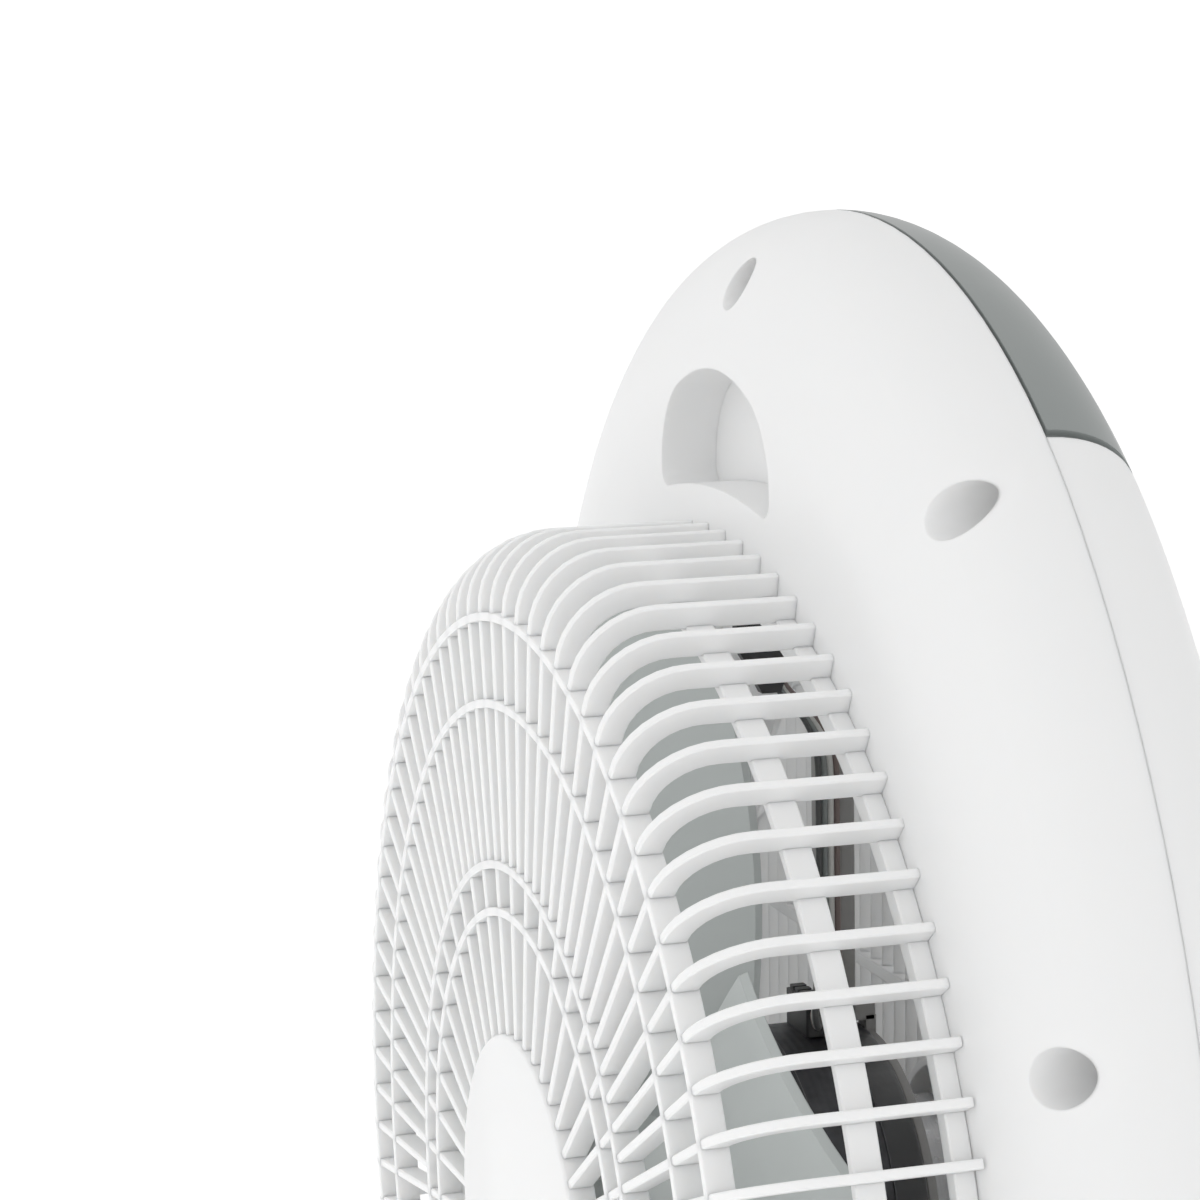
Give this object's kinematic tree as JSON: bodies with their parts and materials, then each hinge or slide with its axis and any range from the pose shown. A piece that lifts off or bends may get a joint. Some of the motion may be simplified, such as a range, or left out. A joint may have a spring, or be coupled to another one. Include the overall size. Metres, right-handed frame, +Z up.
{
  "type": "box fan",
  "caption": "Free-standing box fan with rolled-edge housing, deep fin grille at the rear, rotating louvre at the front, knobs, button and feet.",
  "frame": {"origin": "on the floor, under the centre of the fan's overall box", "axes": "+Z up, +Y towards the rear grille, +X towards the fan's left-hand side as seen from behind the grille"},
  "size_m": [0.384, 0.14, 0.4404],
  "materials": {
    "white_shell": "satin moulded plastic",
    "grey_panel": "satin moulded plastic",
    "blade_plastic": "satin moulded plastic",
    "dark_plastic": "matt moulded plastic",
    "black_enamel": "satin enamel",
    "bare_steel": "ground",
    "copper_wire": "enamelled wire",
    "bearing_bronze": "sintered",
    "screw_steel": "zinc plated",
    "pad_rubber": "matt",
    "switch_plastic": "matt moulded plastic",
    "capacitor_case": "gloss"
  },
  "bodies": {
    "housing": {"rear_housing": "white_shell", "rear_grille": "white_shell", "front_housing": "white_shell", "control_panel": "grey_panel", "cord_inlet": "dark_plastic", "housing_screws": "screw_steel", "motor_front_bell": "black_enamel", "motor_rear_bell": "black_enamel", "motor_core": "black_enamel", "motor_windings": "copper_wire", "motor_bushes": "bearing_bronze", "motor_screws": "screw_steel", "motor_bracket": "white_shell", "bracket_screws": "screw_steel", "louvre_motor": "bare_steel", "speed_switch": "switch_plastic", "timer_body": "switch_plastic", "louvre_switch": "switch_plastic", "run_capacitor": "capacitor_case", "foot_left": "white_shell", "foot_right": "white_shell", "foot_pads": "pad_rubber", "foot_screws": "screw_steel"},
    "fan_rotor": {"fan_blade": "blade_plastic", "blade_nut": "blade_plastic", "motor_shaft": "bare_steel", "motor_rotor": "bare_steel"},
    "front_louvre": {"louvre_grille": "white_shell", "louvre_cap": "grey_panel", "louvre_shaft": "bare_steel"},
    "speed_dial": {"speed_knob": "white_shell", "speed_spindle": "bare_steel"},
    "timer_dial": {"timer_knob": "white_shell", "timer_spindle": "bare_steel"},
    "start_button": {"louvre_button": "white_shell"}
  },
  "joints": [
    {"name": "fan_spin", "type": "hinge", "parent": "housing", "child": "fan_rotor", "pos_m": [0, -0.012, 0.205], "axis": [0, 1, 0], "continuous": true},
    {"name": "louvre_spin", "type": "hinge", "parent": "housing", "child": "front_louvre", "pos_m": [0, -0.012, 0.205], "axis": [0, 1, 0], "continuous": true},
    {"name": "speed_turn", "type": "hinge", "parent": "housing", "child": "speed_dial", "pos_m": [0.04711, -0.012, 0.3808], "axis": [0, 1, 0], "range_deg": [0, 135]},
    {"name": "timer_turn", "type": "hinge", "parent": "housing", "child": "timer_dial", "pos_m": [-0.04711, -0.012, 0.3808], "axis": [0, 1, 0], "range_deg": [0, 300]},
    {"name": "button_press", "type": "slide", "parent": "housing", "child": "start_button", "axis": [0, 1, 0], "range_m": [0, 0.0025], "stiffness_N_per_m": 400, "springref_m": -0.001}
  ]
}
